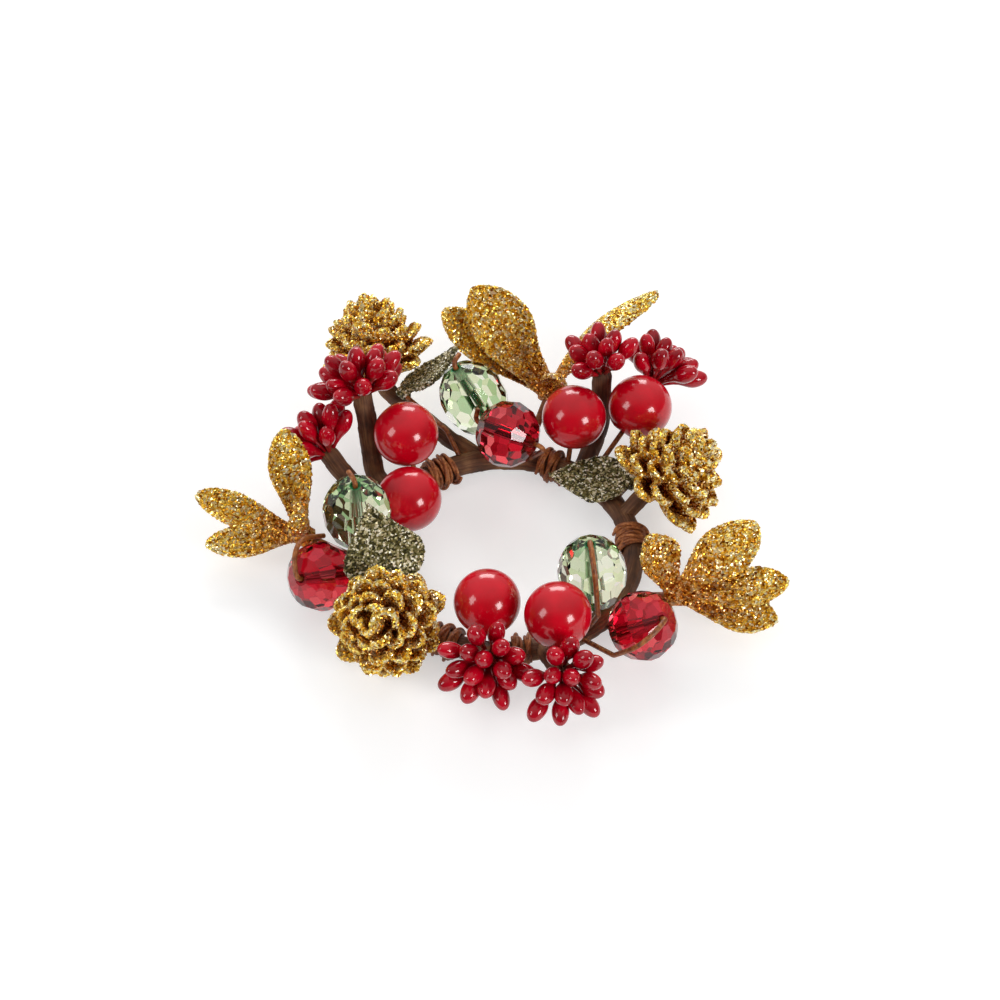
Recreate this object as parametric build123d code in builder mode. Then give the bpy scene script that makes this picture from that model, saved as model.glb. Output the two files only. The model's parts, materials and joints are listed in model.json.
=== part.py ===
"""Candle ring: a small wreath of paper-wrapped wire stems with glitter cones, flowers and leaves,
lacquered berries, faceted beads and bunches of stamen buds. Millimetres, +Z up. The origin is on the
table at the middle of the candle opening, and the viewer of the photo stands on the -Y side.

Three sprays, a, b and c, follow each other round the hoop. A place is given by its bearing round the
hoop, its distance outside the hoop line and its height above it, so everything follows the hoop."""

import os
from math import acos, atan2, cos, pi, radians, sin, sqrt

from build123d import *

os.makedirs("parts", exist_ok=True)

# Hoop and its bindings
HOOP_RADIUS = 27.5
HOOP_WIRE_RADIUS = 1.0
WRAP_RADIUS = 2.4
WRAP_FIT = 0.05
HOOP_SEAM_BEARING = 121
HOOP_SEAM_ANGLE = 1.2
TWINE_RADIUS = 0.5
TWINE_GAP = 0.3
TWINE_PITCH = 1.5
TWINE_FLAT = 0.5
HOOP_HEIGHT = WRAP_RADIUS + TWINE_GAP + 2 * TWINE_RADIUS - TWINE_FLAT

# Stems and wires
PIP_STEM_RADIUS = 2.2
CONE_STEM_RADIUS = 2.0
FLOWER_STEM_RADIUS = 0.9
WIRE_RADIUS = 0.55
STEM_BEND = 4.0
WIRE_BEND = 1.3
GLUE_FIT = 0.05

# Lacquered berries
BERRY_RADIUS = 7.0
BERRY_BORE_DEPTH = 5.0

# Faceted beads, which turn on their wires
RUBY_RADIUS = 7.4
RUBY_HALF_LENGTH = 7.2
GREEN_RADIUS = 7.3
GREEN_HALF_LENGTH = 9.5
FACET_DEPTH = 0.95
BEAD_BORE_RADIUS = 0.95
BEAD_CLEARANCE = 0.5
BEAD_LEAD = 2.4
HOOK_LENGTH = 3.0

# Stamen buds
PIP_RADIUS = 1.75
PIP_LENGTH = 12.0
PIP_BUD_LENGTH = 5.6
PIP_TIP_LENGTH = 2.4
PIP_NECK_RADIUS = 0.8
PIP_THREAD_RADIUS = 0.35
PIP_STAGGER = 0.9
GOLDEN_ANGLE = 180 * (3 - sqrt(5))

# Glitter cones
CONE_RADIUS = 13.5
CONE_SHARES = (1.0, 0.96, 0.84, 0.66, 0.46, 0.29)
CONE_RISES = (1.5, 3.6, 5.4, 6.4, 6.6, 6.2)
CONE_SCALES = 8
CONE_PITCH = 2.5
CONE_SKIN = 1.1
CONE_HUB_RADIUS = 2.1
SPINDLE_RADIUS = 1.0
SCALE_TIP_RADIUS = 2.5
SCALE_CURL = 22

# Glitter flowers
PETAL_SKIN = 1.0
PETAL_SAG = 0.13
CALYX_RADIUS = 2.4
CALYX_BORE_DEPTH = 2.6

# Frosted leaves
LEAF_SKIN = 1.0
LEAF_SAG = 0.07
LEAF_STALK_RADIUS = 1.2
LEAF_STALK_LENGTH = 2.2


def heading(bearing, climb):
    """The unit direction with this bearing and this climb above the table."""
    level = cos(radians(climb))
    return Vector(level * cos(radians(bearing)), level * sin(radians(bearing)), sin(radians(climb)))


def spot(bearing, out, up):
    """The point at this bearing, outside the hoop line by out and above it by up."""
    return heading(bearing, 0) * (HOOP_RADIUS + out) + Vector(0, 0, HOOP_HEIGHT + up)


def square_to(direction, axis):
    """The unit direction square to axis that is nearest to direction."""
    return (direction - axis * direction.dot(axis)).normalized()


def keep(piece, name):
    """Labels a finished piece and writes its STEP file."""
    piece.label = name
    export_step(piece, f"parts/{name}.step")


# The hoop: a steel wire, its ends meeting under the largest binding, in a tube of wound paper tape
seam = heading(HOOP_SEAM_BEARING + HOOP_SEAM_ANGLE / 2, 0)
hoop_section = Plane(
    origin=seam * HOOP_RADIUS + Vector(0, 0, HOOP_HEIGHT), x_dir=seam, z_dir=Vector(0, 0, 1).cross(seam)
)

with BuildPart() as hoop_wire:
    with BuildSketch(hoop_section):
        Circle(HOOP_WIRE_RADIUS)
    revolve(axis=Axis.Z, revolution_arc=360 - HOOP_SEAM_ANGLE)
keep(hoop_wire.part, "hoop_wire")

with BuildPart() as hoop_wrap:
    with BuildSketch(hoop_section):
        Circle(WRAP_RADIUS)
        Circle(HOOP_WIRE_RADIUS + WRAP_FIT, mode=Mode.SUBTRACT)
    revolve(axis=Axis.Z, revolution_arc=360 - HOOP_SEAM_ANGLE)
keep(hoop_wrap.part, "hoop_wrap")

# The outside of the hoop, which the roots of all stems are fitted against
with BuildPart() as hoop_blank:
    with Locations((0, 0, HOOP_HEIGHT)):
        Torus(HOOP_RADIUS, WRAP_RADIUS)


def stem(points, radius, bend):
    """A stem along straight runs with tangent bends, its root shaped to the hoop."""
    with BuildPart() as rod:
        with BuildLine():
            if len(points) == 2:
                path = Line(*points)
            else:
                path = FilletPolyline(*points, radius=bend)
        with BuildSketch(Plane(origin=path @ 0, z_dir=path % 0)):
            Circle(radius)
        sweep()
        add(hoop_blank.part, mode=Mode.SUBTRACT)
    return rod


# Bindings: paper twine in close turns round the hoop. The ring stands on the flats of their undersides.
def biarc(start, start_way, end, end_way):
    """Two arcs that join tangentially between two points with given directions."""
    chord = end - start
    ways = start_way + end_way
    turn = 2 * (1 - start_way.dot(end_way))
    along = chord.dot(ways)
    reach = (sqrt(along * along + turn * chord.dot(chord)) - along) / turn
    first = start + start_way * reach
    last = end - end_way * reach
    middle = (first + last) * 0.5
    TangentArc(start, middle, tangent=start_way)
    TangentArc(middle, end, tangent=(last - first).normalized())


def coil_point(turn, turns):
    """The twine's centreline after this many turns, wound about Z."""
    radius = WRAP_RADIUS + TWINE_GAP + TWINE_RADIUS
    angle = 2 * pi * turn
    return Vector(radius * cos(angle), radius * sin(angle), TWINE_PITCH * (turn - turns / 2))


def coil_way(turn):
    radius = WRAP_RADIUS + TWINE_GAP + TWINE_RADIUS
    angle = 2 * pi * turn
    run = 2 * pi * radius
    return Vector(-run * sin(angle), run * cos(angle), TWINE_PITCH).normalized()


def binding(bearing, turns):
    """One winding, with straight cut ends one twine diameter long, flat where it meets the table."""
    quarters = turns * 4
    tail = 2 * TWINE_RADIUS
    out = heading(bearing, 0)
    seat = Plane(origin=spot(bearing, 0, 0), x_dir=out, z_dir=Vector(0, 0, 1).cross(out))
    with BuildPart() as coil:
        with BuildLine():
            lead = Line(coil_point(0, turns) - coil_way(0) * tail, coil_point(0, turns))
            for quarter in range(quarters):
                here = quarter / 4
                there = (quarter + 1) / 4
                biarc(coil_point(here, turns), coil_way(here), coil_point(there, turns), coil_way(there))
            Line(coil_point(turns, turns), coil_point(turns, turns) + coil_way(turns) * tail)
        with BuildSketch(Plane(origin=lead @ 0, z_dir=lead % 0)):
            Circle(TWINE_RADIUS)
        sweep()
    with BuildPart() as seated:
        with Locations(seat):
            add(coil.part)
        split(bisect_by=Plane.XY)
    return seated


def least_gap(turns):
    """The least gap between one turn of a winding and the next, on points along its centreline."""
    steps = 24
    points = [coil_point(i / steps, turns) for i in range(turns * steps + 1)]
    gaps = []
    for i, point in enumerate(points):
        for other in points[i + steps // 2:]:
            gaps.append((point - other).length - 2 * TWINE_RADIUS)
    return min(gaps)


BINDINGS = {
    "binding_a1": (-117, 5),
    "binding_a2": (-156, 4),
    "binding_b1": (121, 5),
    "binding_b2": (67.5, 3),
    "binding_c1": (6, 5),
    "binding_c2": (-84, 3),
}
for name, (bearing, turns) in BINDINGS.items():
    coil = binding(bearing, turns)
    print(name, "least gap to itself", round(least_gap(turns), 2), "mm")
    keep(coil.part, name)


# Berries: lacquered balls glued on the ends of their wires
BERRIES = {
    "a1": {"root": 134, "place": (134.1, 3.2, 13.8)},
    "a2": {"root": 168, "place": (157.8, -5.3, 8.0)},
    "b1": {"root": 60.3, "place": (62.4, 5.0, 12.0)},
    "b2": {"root": 49.0, "place": (47.8, 16.5, 11.2)},
    "c1": {"root": -92, "place": (-99.6, -5.0, 10.0)},
    "c2": {"root": -64, "place": (-69.0, 2.7, 13.0)},
}
for tag, berry in BERRIES.items():
    centre = spot(*berry["place"])
    root = spot(berry["root"], 0, 0)
    way = (centre - root).normalized()
    tip = centre - way * (BERRY_RADIUS - BERRY_BORE_DEPTH)
    with BuildPart() as ball:
        with Locations(Plane(origin=centre, z_dir=way)):
            Sphere(BERRY_RADIUS)
        with BuildSketch(Plane(origin=tip, z_dir=-way)):
            Circle(WIRE_RADIUS + GLUE_FIT)
        extrude(amount=2 * BERRY_RADIUS, mode=Mode.SUBTRACT)
    keep(ball.part, f"berry_{tag}")
    berry["wire"] = stem([root, tip], WIRE_RADIUS, WIRE_BEND).part
for spray in "abc":
    with BuildPart() as berry_wires:
        add(BERRIES[f"{spray}1"]["wire"])
        add(BERRIES[f"{spray}2"]["wire"])
    keep(berry_wires.part, f"berry_wires_{spray}")


# Faceted beads: rows of flats cut about an oval, drilled through, each loose on its own wire
def bead_blank(radius, half_length, rows, facets):
    """A faceted bead about Z, bored along it."""
    with BuildPart() as blank:
        Cylinder(radius * 1.2, half_length * 2 * FACET_DEPTH)
        for row, latitude in enumerate(rows):
            for facet in range(facets):
                way = heading((facet + row % 2 / 2) * 360 / facets, latitude)
                flat = Vector(way.X / radius, way.Y / radius, way.Z / half_length)
                split(
                    bisect_by=Plane(origin=flat * (FACET_DEPTH / flat.dot(flat)), z_dir=flat),
                    keep=Keep.BOTTOM,
                )
        Cylinder(BEAD_BORE_RADIUS, half_length * 3, mode=Mode.SUBTRACT)
    return blank


ruby_blank = bead_blank(RUBY_RADIUS, RUBY_HALF_LENGTH, (-58, -20, 20, 58), 9)
green_blank = bead_blank(GREEN_RADIUS, GREEN_HALF_LENGTH, (-62, -34, 0, 34, 62), 8)

# The wire goes through the bore. It then turns a short hook, stops half way down the outside of the bead,
# or folds right back to the hoop.
BEADS = {
    "ruby_a": {
        "place": (-163.9, 12.9, 5.4),
        "axis": (-134, 35),
        "side": (130, 55),
        "root": -166,
        "end": "side",
    },
    "ruby_b": {
        "place": (88.5, -2.3, 10.5),
        "axis": (150.6, -2),
        "side": (60, 60),
        "root": 80,
        "end": "hook",
    },
    "ruby_c": {
        "place": (-42.2, 11.1, 6.8),
        "axis": (-33.5, 48.6),
        "side": (-122, 0),
        "root": -42,
        "end": -57,
    },
    "green_a": {
        "place": (-179, 3.8, 13.8),
        "axis": (-90, 86),
        "side": (120, 0),
        "root": 174,
        "end": "hook",
    },
    "green_b": {
        "place": (100.2, 11.0, 8.5),
        "axis": (162, 63),
        "side": (60, 0),
        "root": 92,
        "end": "hook",
    },
    "green_c": {
        "place": (-40.6, -3.6, 11.5),
        "axis": (180, 86),
        "side": (-84, 0),
        "root": -37,
        "end": -52,
    },
}
for tag, bead in BEADS.items():
    colour = tag.split("_")[0]
    if colour == "ruby":
        blank, radius, half_length = ruby_blank, RUBY_RADIUS, RUBY_HALF_LENGTH
    else:
        blank, radius, half_length = green_blank, GREEN_RADIUS, GREEN_HALF_LENGTH
    centre = spot(*bead["place"])
    axis = heading(*bead["axis"])
    side = square_to(heading(*bead["side"]), axis)
    clear = BEAD_CLEARANCE + WIRE_RADIUS
    over = centre + axis * (half_length + clear)
    points = [spot(bead["root"], 0, 0), centre - axis * (half_length + BEAD_LEAD), over]
    bends = [WIRE_BEND, WIRE_BEND]
    if bead["end"] == "hook":
        points.append(over + side * HOOK_LENGTH)
    else:
        points.append(over + side * (radius + clear))
        points.append(centre + side * (radius + clear) - axis * half_length * 0.4)
        bends.append(radius * 0.8)
    if bead["end"] not in ("hook", "side"):
        points.append(spot(bead["end"], 0, 0))
        bends.append(WIRE_BEND)
    bead_wire = stem(points, WIRE_RADIUS, bends)
    keep(bead_wire.part, f"{colour}_wire_{tag[-1]}")
    with BuildPart() as threaded:
        with Locations(Plane(origin=centre, x_dir=side, z_dir=axis)):
            add(blank.part)
    keep(threaded.part, f"{colour}_bead_{tag[-1]}")


# Stamen buds: drops on threads that fan out from the domed end of a thick taped stem
def pip_blank(length):
    """One bud along Z, its thread starting at the dome."""
    neck = Vector(PIP_NECK_RADIUS, length - PIP_BUD_LENGTH)
    belly = Vector(PIP_RADIUS, length - PIP_TIP_LENGTH)
    with BuildPart() as bud:
        with BuildSketch(Plane.XZ):
            with BuildLine():
                Polyline((0, length), (0, PIP_STEM_RADIUS), (PIP_THREAD_RADIUS, PIP_STEM_RADIUS), neck)
                Bezier(neck, neck + Vector(0.4, 1.2), belly - Vector(0, 1.2), belly)
                Bezier(belly, belly + Vector(0, 1.3), (PIP_RADIUS * 0.6, length), (0, length))
            make_face()
        revolve(axis=Axis.Z)
    return bud


pip_blanks = [pip_blank(PIP_LENGTH + PIP_STAGGER * step) for step in (0, -1, 1)]


def pip_fan(dome, aim, spread, count):
    """A bunch of separate buds spread evenly over a cap of the dome."""
    across = square_to(Vector(0, 0, 1), aim)
    with BuildPart() as fan:
        for i in range(count):
            lean = acos(1 - (i + 0.8) / count * (1 - cos(radians(spread))))
            ring = across.rotate(Axis((0, 0, 0), aim), i * GOLDEN_ANGLE)
            way = aim * cos(lean) + ring * sin(lean)
            with Locations(Plane(origin=dome, z_dir=way)):
                add(pip_blanks[i % 3].part)
    return fan


# Each bunch: its stem's root, knee and dome, the way it aims, the half angle it fills and its number of buds
PIPS = {
    "a1": {
        "root": 149,
        "knee": (144, 7.5, 2.6),
        "dome": (136.6, 14.8, 18.0),
        "aim": (118, 58),
        "fan": (74, 21),
    },
    "a2": {
        "root": 160,
        "knee": (155, 8.0, 3.6),
        "dome": (151.4, 15.8, 8.2),
        "aim": (146, 40),
        "fan": (62, 17),
    },
    "b1": {
        "root": 53,
        "knee": (60, 14.6, 1.6),
        "dome": (61.6, 17.4, 13.6),
        "aim": (165, 82),
        "fan": (47, 10),
    },
    "b2": {
        "root": 38.5,
        "knee": (46.5, 21.0, 1.4),
        "dome": (53.2, 26.6, 6.8),
        "aim": (52, 48),
        "fan": (60, 16),
    },
    "c1": {
        "root": -100,
        "knee": None,
        "dome": (-95.4, 6.4, 6.2),
        "aim": (-100, 34),
        "fan": (60, 16),
    },
    "c2": {
        "root": -73,
        "knee": None,
        "dome": (-73, 12.2, 6.8),
        "aim": (-76, 30),
        "fan": (58, 15),
    },
}
for tag, bunch in PIPS.items():
    dome = spot(*bunch["dome"])
    points = [spot(bunch["root"], 0, 0), dome]
    if bunch["knee"]:
        points.insert(1, spot(*bunch["knee"]))
    with BuildPart() as pip_stem:
        add(stem(points, PIP_STEM_RADIUS, STEM_BEND).part)
        with Locations(dome):
            Sphere(PIP_STEM_RADIUS)
    keep(pip_stem.part, f"pip_stem_{tag}")
    keep(pip_fan(dome, heading(*bunch["aim"]), *bunch["fan"]).part, f"pips_{tag}")


# Cones: star-shaped layers of spoon scales stacked hub on hub on the spindle of their stem
def cone_layer(level):
    """One layer of scales, opening upwards, with its hub on Z = 0."""
    radius = CONE_RADIUS * CONE_SHARES[level]
    rise = CONE_RISES[level]
    tip = min(SCALE_TIP_RADIUS, radius * 0.36)
    climb = atan2(rise, radius - CONE_HUB_RADIUS)
    first_slope = max(0, climb - radians(SCALE_CURL))
    last_slope = 2 * climb - first_slope
    low_root = Vector(CONE_HUB_RADIUS, 0)
    low_tip = Vector(radius, rise)
    high_root = low_root + Vector(-sin(first_slope), cos(first_slope)) * CONE_SKIN
    high_tip = low_tip + Vector(-sin(last_slope), cos(last_slope)) * CONE_SKIN
    slope = (cos(first_slope), sin(first_slope))
    with BuildPart() as layer:
        with BuildSketch(Plane.XZ):
            with BuildLine():
                Line((0, 0), low_root)
                TangentArc(low_root, low_tip, tangent=slope)
                Line(low_tip, high_tip)
                TangentArc(high_root, high_tip, tangent=slope)
                Polyline(high_root, (0, high_root.Y), (0, 0))
            make_face()
        revolve(axis=Axis.Z)
        with BuildSketch() as star:
            with BuildSketch(mode=Mode.PRIVATE) as tongue:
                with Locations((CONE_HUB_RADIUS, 0)):
                    Circle(tip * 0.5)
                with Locations((radius - tip, 0)):
                    Circle(tip)
                make_hull()
            for scale in range(CONE_SCALES):
                add(tongue.sketch, rotation=(scale + level % 2 / 2) * 360 / CONE_SCALES)
            Circle(CONE_HUB_RADIUS)
        extrude(amount=rise + CONE_SKIN, mode=Mode.INTERSECT)
        Cylinder(CONE_HUB_RADIUS, CONE_PITCH, align=(Align.CENTER, Align.CENTER, Align.MIN))
        Cylinder(SPINDLE_RADIUS + GLUE_FIT, CONE_PITCH * 3, mode=Mode.SUBTRACT)
    return layer


cone_layers = [cone_layer(level) for level in range(len(CONE_SHARES))]

CONES = {
    "a": {"root": -134, "run": None, "base": (-134.4, 5.4, 5.6), "axis": (-110, 45), "lead": 3.0},
    "b": {"root": 99, "run": (110, 6.5, 1.2), "base": (119.9, 27.8, 5.8), "axis": (118, 58), "lead": 4.0},
    "c": {"root": 22, "run": None, "base": (22.4, 7.0, 6.2), "axis": (2, 48), "lead": 3.0},
}
for tag, cone in CONES.items():
    base = spot(*cone["base"])
    axis = heading(*cone["axis"])
    points = [spot(cone["root"], 0, 0), base - axis * cone["lead"], base]
    if cone["run"]:
        points.insert(1, spot(*cone["run"]))
    with BuildPart() as cone_stem:
        add(stem(points, CONE_STEM_RADIUS, STEM_BEND).part)
        with BuildSketch(Plane(origin=base, z_dir=axis)):
            Circle(SPINDLE_RADIUS)
        extrude(amount=CONE_PITCH * len(cone_layers))
    keep(cone_stem.part, f"cone_stem_{tag}")
    layers = []
    for level, layer in enumerate(cone_layers):
        seat = Plane(origin=base + axis * (CONE_PITCH * level), z_dir=axis)
        layers.append(seat.location * layer.part)
    keep(Compound(children=layers), f"cone_{tag}")


# Flowers: cupped glitter petals on a small calyx, glued on the end of a wire stem
def petal_blank(length, width):
    """One petal along X from the calyx, hollow side up, cut from a thin spherical shell."""
    sag = length * PETAL_SAG
    bowl = (length * length / 4 + sag * sag) / (2 * sag)
    with BuildPart() as petal:
        with Locations((length / 2, 0, bowl - sag)):
            Sphere(bowl, rotation=(90, 0, 0))
            Sphere(bowl - PETAL_SKIN, rotation=(90, 0, 0), mode=Mode.SUBTRACT)
        with BuildSketch(Plane.XY.offset(-sag)):
            with Locations((length / 2, 0)):
                Ellipse(length / 2, width / 2)
        extrude(amount=2 * sag, mode=Mode.INTERSECT)
    return petal


# Each petal: its length and width, the way it points and the way its hollow side faces
FLOWERS = {
    "a": {
        "root": -176,
        "knee": (-177, 6.0, 1.2),
        "base": (-178.9, 15.5, 6.8),
        "petals": (
            {"size": (23, 11), "way": (103, 36), "face": (-80, 40)},
            {"size": (26, 9), "way": (157, 1), "face": (-90, 72)},
            {"size": (21, 9.5), "way": (178, -8), "face": (-70, 60)},
            {"size": (11, 8), "way": (-110, 76), "face": (170, 20)},
        ),
    },
    "b": {
        "root": 86,
        "knee": (80, 6.0, 0.4),
        "base": (76.6, 15.0, 6.4),
        "petals": (
            {"size": (31, 11), "way": (146, 20), "face": (-80, 50)},
            {"size": (29, 13.5), "way": (136, 34), "face": (-80, 44)},
            {"size": (33, 9), "way": (38, 22), "face": (-30, -55)},
            {"size": (11, 7), "way": (-60, 63), "face": (-120, 10)},
        ),
    },
    "c": {
        "root": -30,
        "knee": (-29.5, 5.0, 4.4),
        "base": (-26.6, 12.2, 6.8),
        "petals": (
            {"size": (23, 12), "way": (28, 27), "face": (-50, 50)},
            {"size": (24, 11), "way": (8, 6), "face": (-80, 70)},
            {"size": (22, 10), "way": (-9, -6), "face": (-80, 60)},
            {"size": (15, 10), "way": (134, 58), "face": (-60, 24)},
        ),
    },
}
for tag, flower in FLOWERS.items():
    base = spot(*flower["base"])
    knee = spot(*flower["knee"])
    axis = (base - knee).normalized()
    tip = base - axis * (CALYX_RADIUS - CALYX_BORE_DEPTH)
    with BuildPart() as bloom:
        with Locations(Plane(origin=base, z_dir=axis)):
            Sphere(CALYX_RADIUS)
        for petal in flower["petals"]:
            way = heading(*petal["way"])
            face = square_to(heading(*petal["face"]), way)
            blank = petal_blank(*petal["size"])
            with Locations(Plane(origin=base, x_dir=way, z_dir=face)):
                add(blank.part)
        with BuildSketch(Plane(origin=tip, z_dir=-axis)):
            Circle(FLOWER_STEM_RADIUS + GLUE_FIT)
        extrude(amount=2 * CALYX_RADIUS, mode=Mode.SUBTRACT)
    keep(bloom.part, f"flower_{tag}")
    flower_stem = stem([spot(flower["root"], 0, 0), knee, tip], FLOWER_STEM_RADIUS, STEM_BEND)
    keep(flower_stem.part, f"flower_stem_{tag}")


# Leaves: pointed, slightly cupped blades whose moulded stalk slips over a wire
def leaf_blank(length, width):
    """One blade along X from its stalk, hollow side up."""
    sag = length * LEAF_SAG
    bowl = (length * length / 4 + sag * sag) / (2 * sag)
    with BuildPart() as blade:
        with Locations((length / 2, 0, bowl - sag)):
            Sphere(bowl, rotation=(90, 0, 0))
            Sphere(bowl - LEAF_SKIN, rotation=(90, 0, 0), mode=Mode.SUBTRACT)
        with BuildSketch(Plane.XY.offset(-sag)):
            with BuildLine():
                for edge in (1, -1):
                    Spline(
                        (0, 0),
                        (length * 0.35, edge * width / 2),
                        (length, 0),
                        tangents=((0.35, edge), (1, -edge * 0.7)),
                    )
            make_face()
        extrude(amount=3 * sag, mode=Mode.INTERSECT)
    return blade


LEAVES = {
    "a": {
        "root": -146,
        "knee": (-146, 0.2, 2.2),
        "base": (-145, 0.8, 5.2),
        "size": (21.5, 17.5),
        "way": (121, 60),
        "face": (-76, 30),
    },
    "b": {
        "root": 109.5,
        "knee": (113, 5.0, 6.5),
        "base": (118.6, 20.6, 5.8),
        "size": (17, 11),
        "way": (33, 20),
        "face": (150, 55),
    },
    "c": {
        "root": 31.0,
        "knee": (31.4, 1.8, 2.0),
        "base": (31.0, 5.0, 4.8),
        "size": (18.5, 13),
        "way": (173, -3),
        "face": (-90, 88),
    },
}
for tag, leaf in LEAVES.items():
    base = spot(*leaf["base"])
    way = heading(*leaf["way"])
    face = square_to(heading(*leaf["face"]), way)
    knee = spot(*leaf["knee"])
    stalk = (base - knee).normalized()
    blank = leaf_blank(*leaf["size"])
    with BuildPart() as leaf_part:
        with Locations(Plane(origin=base, x_dir=way, z_dir=face)):
            add(blank.part)
        with Locations(base):
            Sphere(LEAF_STALK_RADIUS)
        with BuildSketch(Plane(origin=base, z_dir=-stalk)):
            Circle(LEAF_STALK_RADIUS)
        extrude(amount=LEAF_STALK_LENGTH)
        with BuildSketch(Plane(origin=base, z_dir=-stalk)):
            Circle(WIRE_RADIUS + GLUE_FIT)
        extrude(amount=2 * LEAF_STALK_LENGTH, mode=Mode.SUBTRACT)
    keep(leaf_part.part, f"leaf_{tag}")
    leaf_wire = stem([spot(leaf["root"], 0, 0), knee, base], WIRE_RADIUS, WIRE_BEND)
    keep(leaf_wire.part, f"leaf_wire_{tag}")
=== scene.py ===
import json
import random
from math import acos, asin, ceil, cos, pi, radians, sin, sqrt, tan

import bmesh
import bpy
from mathutils import Matrix, Vector, noise
from mathutils.bvhtree import BVHTree


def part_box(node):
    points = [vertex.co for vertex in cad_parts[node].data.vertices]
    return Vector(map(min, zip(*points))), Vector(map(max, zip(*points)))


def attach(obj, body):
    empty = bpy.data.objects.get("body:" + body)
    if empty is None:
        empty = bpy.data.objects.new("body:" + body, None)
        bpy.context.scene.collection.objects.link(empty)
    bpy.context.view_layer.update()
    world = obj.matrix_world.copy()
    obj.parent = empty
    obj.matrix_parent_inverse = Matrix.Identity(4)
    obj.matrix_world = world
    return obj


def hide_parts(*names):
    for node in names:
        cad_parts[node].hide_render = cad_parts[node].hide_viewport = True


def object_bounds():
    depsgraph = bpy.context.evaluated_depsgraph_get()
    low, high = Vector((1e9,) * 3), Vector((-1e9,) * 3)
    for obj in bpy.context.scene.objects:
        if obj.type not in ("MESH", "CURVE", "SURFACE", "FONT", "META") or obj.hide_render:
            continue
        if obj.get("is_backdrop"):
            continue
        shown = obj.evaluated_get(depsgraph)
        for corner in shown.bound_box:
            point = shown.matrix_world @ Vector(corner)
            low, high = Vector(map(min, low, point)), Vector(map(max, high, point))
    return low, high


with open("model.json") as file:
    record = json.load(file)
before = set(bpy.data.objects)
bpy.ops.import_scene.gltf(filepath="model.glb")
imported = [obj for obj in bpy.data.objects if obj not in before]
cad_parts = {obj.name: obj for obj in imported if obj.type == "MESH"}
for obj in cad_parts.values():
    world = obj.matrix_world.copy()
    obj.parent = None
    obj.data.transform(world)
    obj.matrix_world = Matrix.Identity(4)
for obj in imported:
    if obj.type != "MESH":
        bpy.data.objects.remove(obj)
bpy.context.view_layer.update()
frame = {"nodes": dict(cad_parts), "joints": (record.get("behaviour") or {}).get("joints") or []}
nodes = frame["nodes"]


# The hoop. A steel wire bent into a circle and wound with brown paper florist's tape, lap over lap.
# The tape dries hard and creases along the wire, so the hoop looks like a thin barked twig.
MM = 0.001
HOOP_RADIUS = 27.5
HOOP_HEIGHT = 3.2
HOOP_TAPE_RADIUS = 2.35
TAPE_PITCH = 5.5
TAPE_LAP = 0.16
LAP_CREST = 0.9
LAP_SINK = 0.6
# Each set of creases: how many lie round the stem, their depth in mm and their twist in radians per mm
CREASES = ((3, 0.07, 0.1), (7, 0.049, -0.18), (12, 0.035, 0.32), (17, 0.0245, -0.42))
CREASE_WANDER = 0.64
WANDER_RATE = 0.16
KNOB_HEIGHT = 0.16
KNOB_RATE = 0.22
RING_STEP = 0.4
RING_SIDES = 40
END_RINGS = 6
END_CROWN = 0.05
BEND_STEPS = 8
TAPE_LIGHT = "#A0764C"
TAPE_MIDDLE = "#6C462C"
TAPE_DARK = "#341E12"
# Paper fibres are finer than this, and are drawn coarser so that they show
FIBRE_WIDTH = 0.45
FIBRE_LENGTH = 9.0
BLOTCH_SIZE = 5.0


def linear(code):
    """The linear colour of an sRGB hex code."""
    shares = [int(code[i:i + 2], 16) / 255 for i in (1, 3, 5)]
    return [s / 12.92 if s <= 0.04045 else ((s + 0.055) / 1.055) ** 2.4 for s in shares] + [1.0]


def add_node(tree, kind, sockets=None, **settings):
    """Adds one node, sets its properties, and fills its sockets with values or links."""
    made = tree.nodes.new(kind)
    for name, value in settings.items():
        setattr(made, name, value)
    for name, value in (sockets or {}).items():
        if isinstance(value, bpy.types.NodeSocket):
            tree.links.new(value, made.inputs[name])
        else:
            made.inputs[name].default_value = value
    return made


def new_finish(name):
    """An empty material and its node tree."""
    finish = bpy.data.materials.new(name)
    finish.use_nodes = True
    finish.node_tree.nodes.clear()
    return finish, finish.node_tree


def colour_steps(ramp, steps):
    """Gives a colour ramp these (place, hex code) steps."""
    while len(ramp.color_ramp.elements) < len(steps):
        ramp.color_ramp.elements.new(0.5)
    for element, (place, code) in zip(ramp.color_ramp.elements, steps):
        element.position = place
        element.color = linear(code)


def spot(bearing, out, up):
    """A place by its bearing round the hoop, its distance outside the hoop line and its height above it."""
    reach = HOOP_RADIUS + out
    return Vector((reach * cos(radians(bearing)), reach * sin(radians(bearing)), HOOP_HEIGHT + up))


def heading(bearing, climb):
    """A unit way by its bearing and its climb from level, in degrees."""
    level = cos(radians(climb))
    return Vector((level * cos(radians(bearing)), level * sin(radians(bearing)), sin(radians(climb))))


def bent(points, bend, step):
    """Points at even steps along straight runs whose corners are rounded to this bend."""
    dense = [points[0]]
    for before, corner, after in zip(points, points[1:], points[2:]):
        into = (corner - before).normalized()
        out = (after - corner).normalized()
        trim = bend * tan(into.angle(out) / 2)
        for share in range(BEND_STEPS + 1):
            t = share / BEND_STEPS
            start, end = corner - into * trim, corner + out * trim
            dense.append(start * (1 - t) ** 2 + corner * 2 * t * (1 - t) + end * t * t)
    dense.append(points[-1])
    lengths = [(b - a).length for a, b in zip(dense, dense[1:])]
    count = max(2, ceil(sum(lengths) / step))
    even, leg, walked = [], 0, 0.0
    for i in range(count + 1):
        goal = sum(lengths) * i / count
        while leg < len(lengths) - 1 and walked + lengths[leg] < goal:
            walked += lengths[leg]
            leg += 1
        share = (goal - walked) / max(lengths[leg], 1e-9)
        even.append(dense[leg].lerp(dense[leg + 1], min(1.0, share)))
    return even


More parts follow.
